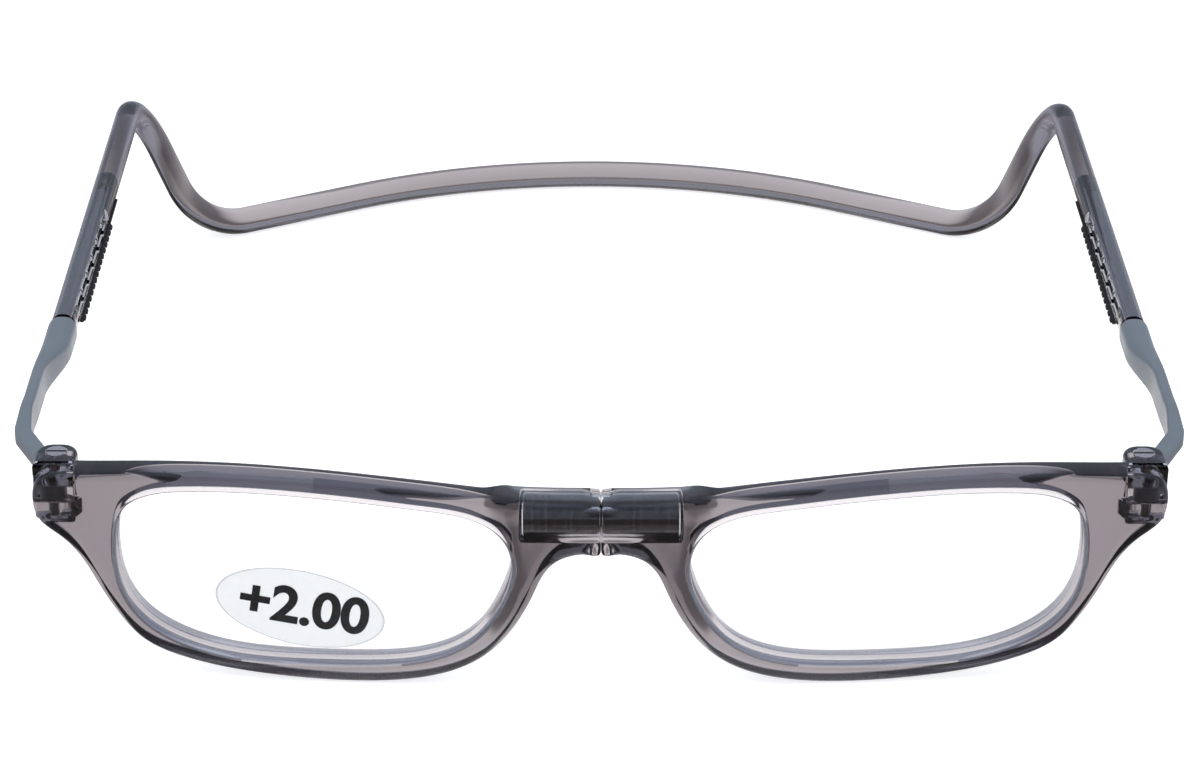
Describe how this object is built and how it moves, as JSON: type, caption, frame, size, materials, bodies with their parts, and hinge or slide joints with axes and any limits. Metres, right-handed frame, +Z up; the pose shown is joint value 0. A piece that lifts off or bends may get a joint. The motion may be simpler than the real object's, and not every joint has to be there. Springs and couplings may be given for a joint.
{
  "type": "magnetic bridge reading glasses",
  "caption": "Reading glasses that part at a magnetic bridge: clear smoke front halves hinged to arms that slide in a wrap-round headband.",
  "frame": {"origin": "under the middle of the bounding box, on the surface that the rims and the headband rest on", "axes": "+Z up, +X to the wearer's left, -Y the way the bridge faces"},
  "size_m": [0.1492, 0.158, 0.0288],
  "materials": {
    "smoke_plastic": "clear smoke-grey moulded plastic, polished",
    "lens_clear": "clear polished lens",
    "magnet_nickel": "dark nickel plate, streaked",
    "cup_clear": "clear smoky sleeve",
    "screw_steel": "bright screw",
    "arm_grey": "satin blue-grey",
    "pin_steel": "plain steel",
    "strip_black": "matt black",
    "label_white": "white peel-off label"
  },
  "bodies": {
    "side_left": {"headband_left": "smoke_plastic", "ratchet_strip_left": "strip_black"},
    "arm_left": {"front_arm_left": "arm_grey", "detent_pin_left": "pin_steel"},
    "front_left": {"rim_left": "smoke_plastic", "lens_left": "lens_clear", "magnet_left": "magnet_nickel", "magnet_cup_left": "cup_clear", "hinge_screw_left": "screw_steel"},
    "side_right": {"headband_right": "smoke_plastic", "ratchet_strip_right": "strip_black"},
    "arm_right": {"front_arm_right": "arm_grey", "detent_pin_right": "pin_steel"},
    "front_right": {"rim_right": "smoke_plastic", "lens_right": "lens_clear", "magnet_right": "magnet_nickel", "magnet_cup_right": "cup_clear", "hinge_screw_right": "screw_steel", "power_label": "label_white"}
  },
  "joints": [
    {"name": "band_flex", "type": "hinge", "parent": "side_left", "child": "side_right", "pos_m": [0, 0.079, 0.0018], "axis": [0, 0, -1], "range_deg": [0, 30], "stiffness_Nm_per_rad": 0.6},
    {"name": "length_left", "type": "slide", "parent": "side_left", "child": "arm_left", "axis": [0, -1, 0], "range_m": [0, 0.0275]},
    {"name": "fold_left", "type": "hinge", "parent": "arm_left", "child": "front_left", "pos_m": [0.06715, -0.0699, 0.02425], "axis": [0, 0, 1], "range_deg": [0, 76]},
    {"name": "length_right", "type": "slide", "parent": "side_right", "child": "arm_right", "axis": [0, -1, 0], "range_m": [0, 0.0275]},
    {"name": "fold_right", "type": "hinge", "parent": "arm_right", "child": "front_right", "pos_m": [-0.06715, -0.0699, 0.02425], "axis": [0, 0, -1], "range_deg": [0, 76]}
  ]
}
